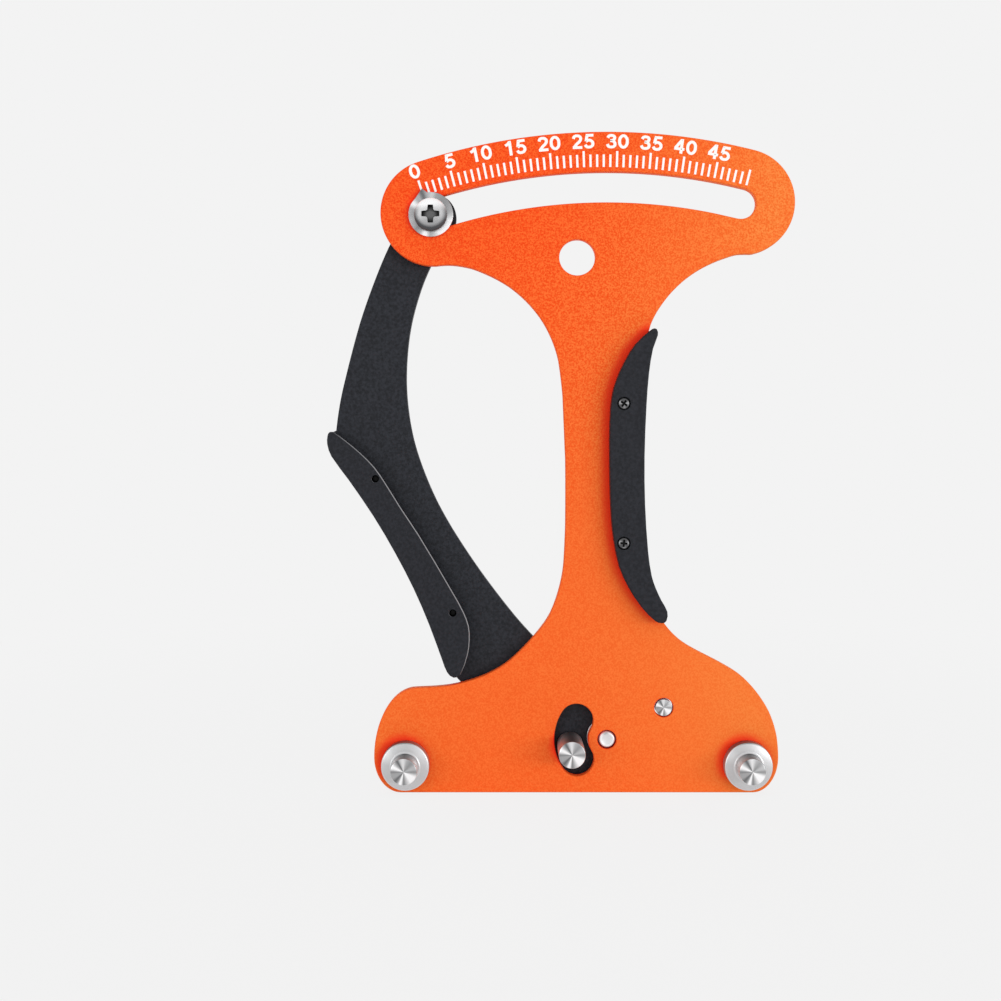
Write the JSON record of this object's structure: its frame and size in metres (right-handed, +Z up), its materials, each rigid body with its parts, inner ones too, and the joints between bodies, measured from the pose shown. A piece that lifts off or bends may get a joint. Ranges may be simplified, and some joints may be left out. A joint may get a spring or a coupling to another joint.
{
  "type": "spoke tension meter",
  "caption": "Flat hand tool that bends a wheel spoke between fixed posts and a sprung moving post and reads its tension on a curved scale.",
  "frame": {"origin": "centre of the hang hole, halfway through the face plate", "axes": "+Z up along the tool towards the scale, +Y out of the back of the plate, +X to the right as seen from the front, where the fixed grip is"},
  "size_m": [0.1354, 0.0232, 0.1911],
  "materials": {
    "plate_paint": "fine-grained satin orange powder coat",
    "lever_paint": "fine-grained dark grey coat",
    "grip_plastic": "smooth dark moulded plastic",
    "turned_steel": "bright turned steel",
    "black_steel": "blackened steel",
    "spring_steel": "drawn spring wire"
  },
  "bodies": {
    "frame": {"face_plate": "plate_paint", "left_fixed_post": "turned_steel", "right_fixed_post": "turned_steel", "left_post_screw": "black_steel", "right_post_screw": "black_steel", "pivot_pin": "turned_steel", "pivot_spacer_washer": "turned_steel", "pivot_back_washer": "turned_steel", "spring_anchor_pin": "turned_steel", "return_spring": "spring_steel", "right_grip_front": "grip_plastic", "right_grip_back": "grip_plastic", "right_grip_screw_upper": "black_steel", "right_grip_screw_lower": "black_steel", "right_grip_nut_upper": "black_steel", "right_grip_nut_lower": "black_steel"},
    "lever": {"lever_arm": "lever_paint", "centre_post": "turned_steel", "centre_post_screw": "black_steel", "left_grip_front": "grip_plastic", "left_grip_back": "grip_plastic", "left_grip_screw_upper": "black_steel", "left_grip_screw_lower": "black_steel", "pointer_washer": "turned_steel", "pointer_screw": "turned_steel", "guide_bush": "black_steel", "pointer_nut": "turned_steel", "spring_hook_pin": "turned_steel"}
  },
  "joints": [
    {"name": "lever_pivot", "type": "hinge", "parent": "frame", "child": "lever", "pos_m": [0.00855, 0, -0.13944], "axis": [0, 1, 0], "range_deg": [0, 32.6], "stiffness_Nm_per_rad": 1.05, "springref_deg": -27.27, "deforming": ["return_spring"]}
  ]
}
